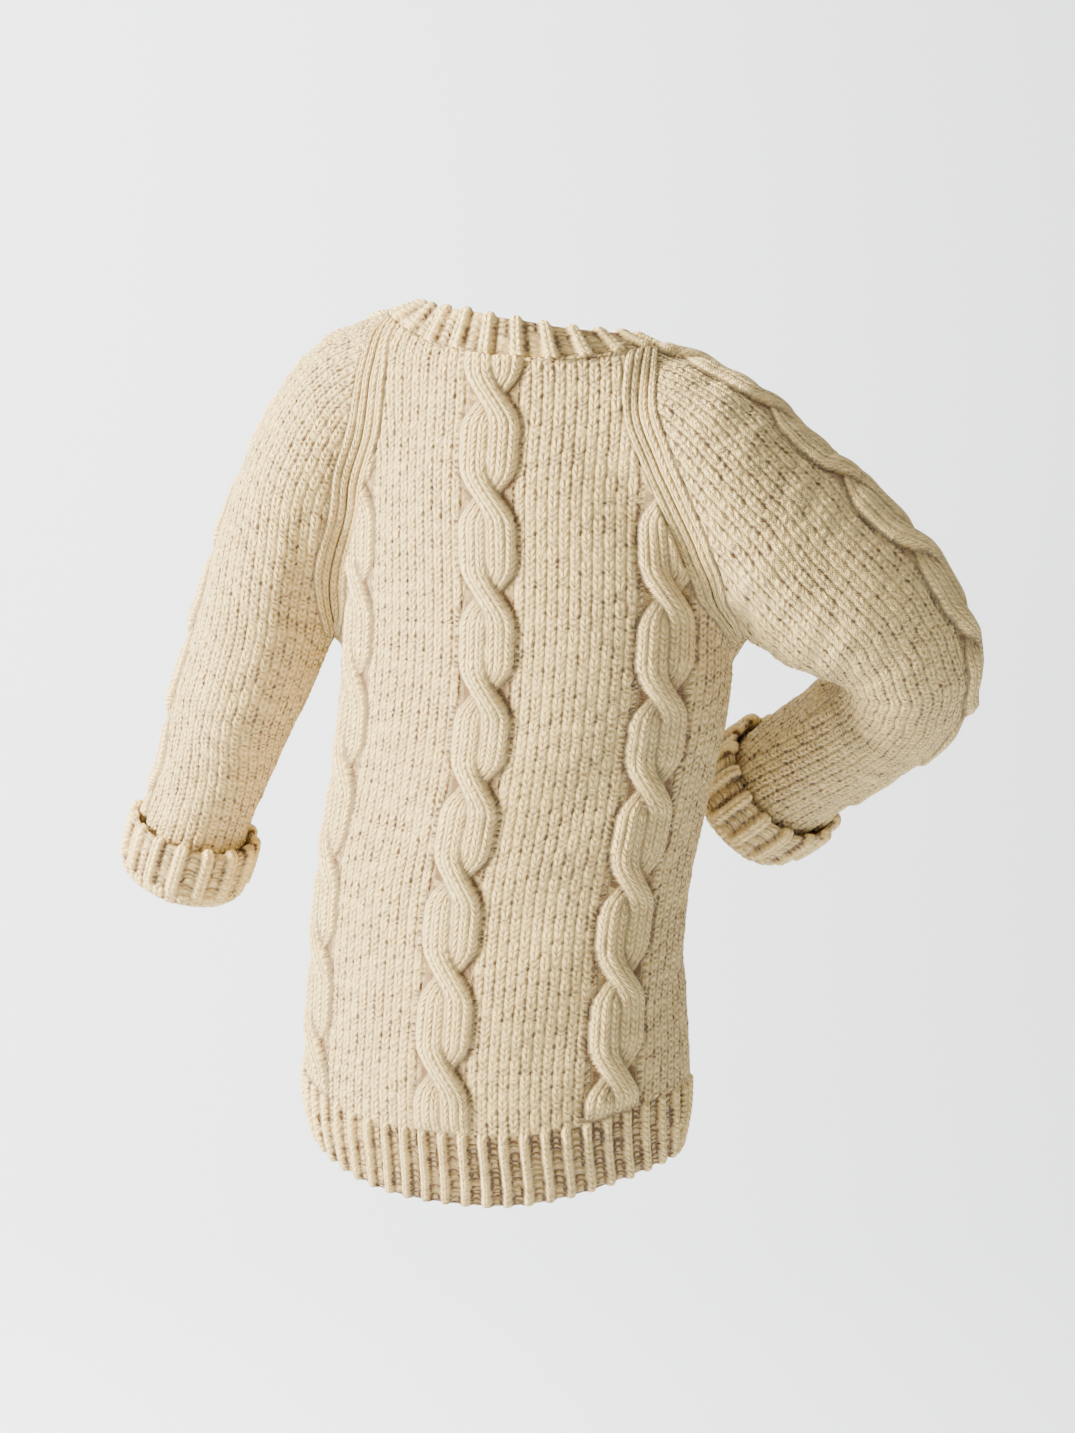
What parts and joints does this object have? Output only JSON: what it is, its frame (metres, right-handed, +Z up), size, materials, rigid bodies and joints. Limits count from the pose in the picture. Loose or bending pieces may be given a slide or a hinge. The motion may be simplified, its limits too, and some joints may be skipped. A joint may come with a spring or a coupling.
{
  "type": "cable knit sweater",
  "caption": "Hip-length hand-knit raglan sweater with rope cables, moss-stitch ground, ribbed neck, turned-back cuffs and hem, in a worn, hollow pose.",
  "frame": {"origin": "in the neck opening, level with the top of the back, where the wearer's neck and shoulders hold the sweater", "axes": "+Z up the body, -Y to the wearer's front, +X to the wearer's left"},
  "size_m": [0.8191, 0.3712, 0.798],
  "materials": {
    "panel_knit": "heavy undyed cream wool, cables on a moss-stitch ground, matt with a soft halo of fibres",
    "rib_knit": "the same wool in one-by-one rib, matt with a soft halo of fibres"
  },
  "bodies": {
    "root": {"back": "panel_knit", "front": "panel_knit", "sleeve_left": "panel_knit", "sleeve_right": "panel_knit", "neckband": "rib_knit", "cuff_left": "rib_knit", "cuff_right": "rib_knit"}
  },
  "joints": []
}
